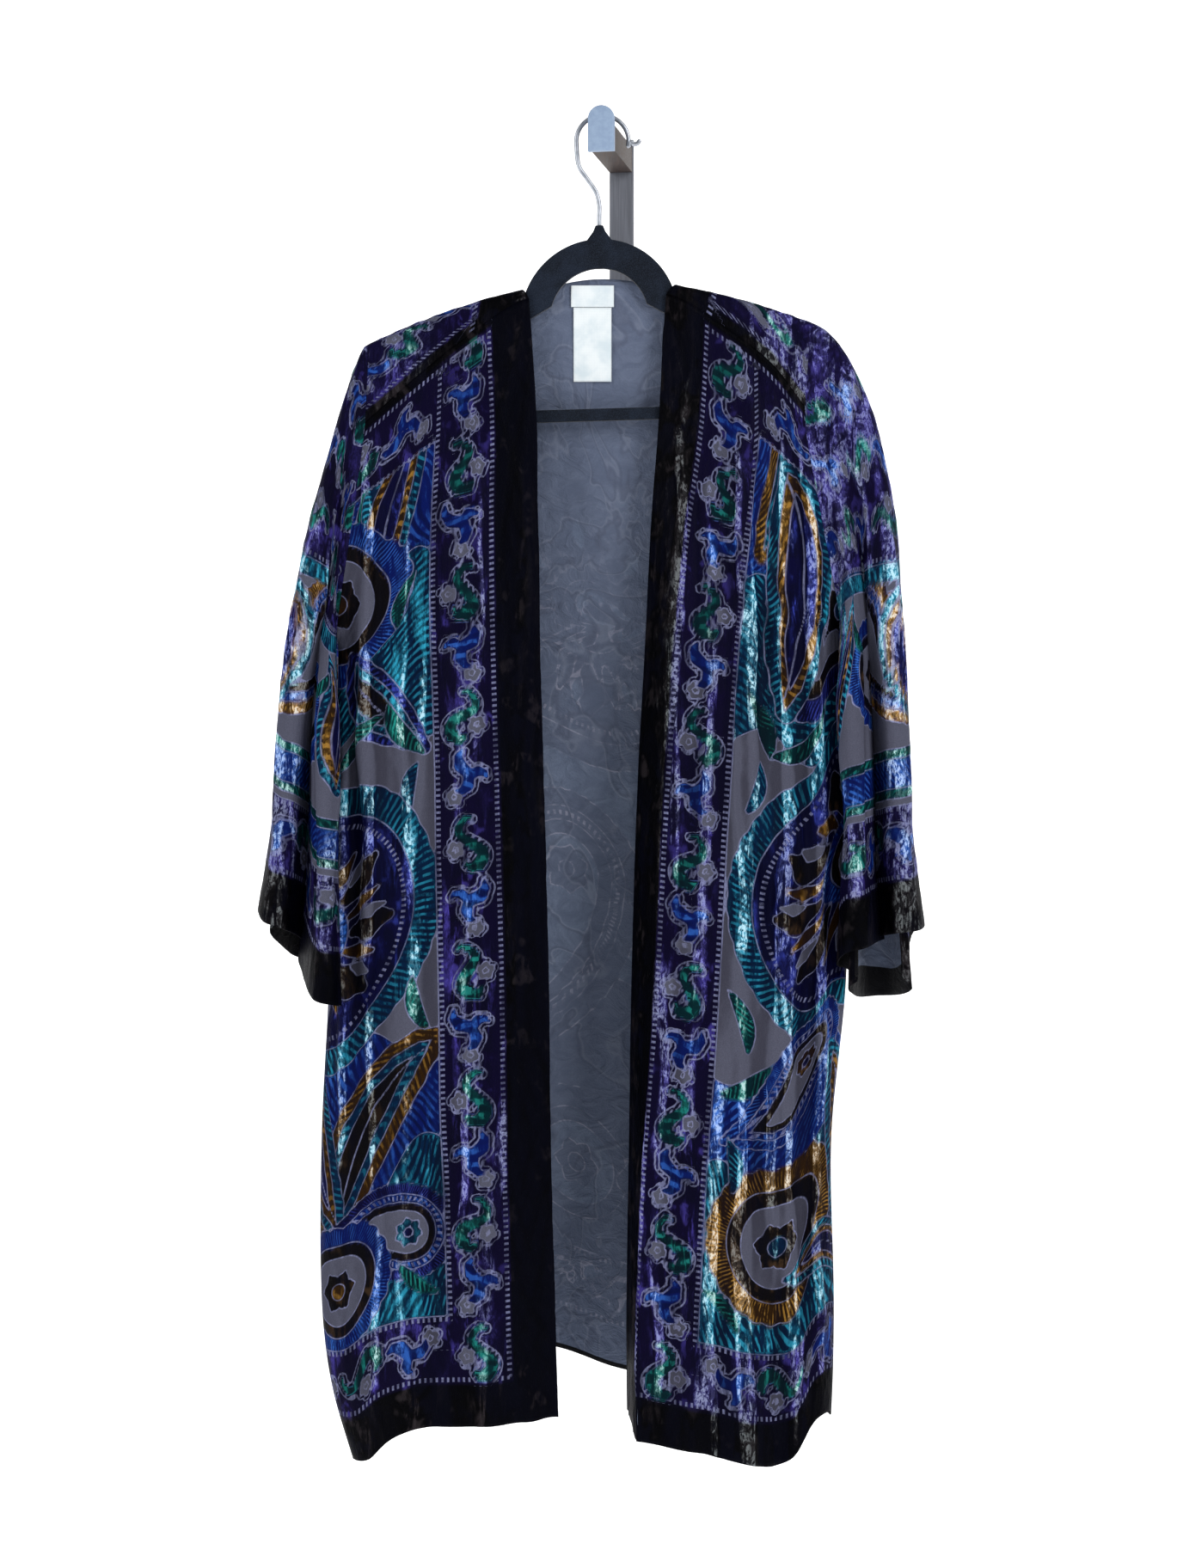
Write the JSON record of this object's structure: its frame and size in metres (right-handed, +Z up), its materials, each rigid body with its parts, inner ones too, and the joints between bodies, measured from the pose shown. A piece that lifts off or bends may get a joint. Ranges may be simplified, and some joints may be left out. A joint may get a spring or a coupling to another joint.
{
  "type": "kimono duster on a hanger and wall hook",
  "caption": "Open-front knee-length kimono duster with wide sleeves, hung on a flat hanger over the arm of a wall hook.",
  "frame": {"origin": "middle of the back face of the wall hook's bar, where it is fixed to the wall", "axes": "+Z up along the garment's length, X across its shoulders towards the wearer's left, -Y towards its front; the wall hook is turned 10 degrees about Z"},
  "size_m": [0.541, 0.1473, 1.0997],
  "materials": {
    "velvet": "burn-out velvet pile on sheer ground",
    "label": "bare woven tape",
    "flock": "flocked",
    "chrome": "bright",
    "bronze": "satin",
    "grey_paint": "satin",
    "steel": "brushed"
  },
  "bodies": {
    "root": {"back": "velvet", "front_right": "velvet", "front_left": "velvet", "sleeve_right": "velvet", "sleeve_left": "velvet", "neck_label": "label", "care_label": "label", "hanger": "flock", "hanger_hook": "chrome", "hook_arm": "bronze", "hook_cap": "grey_paint", "hook_bar": "steel"}
  },
  "joints": []
}
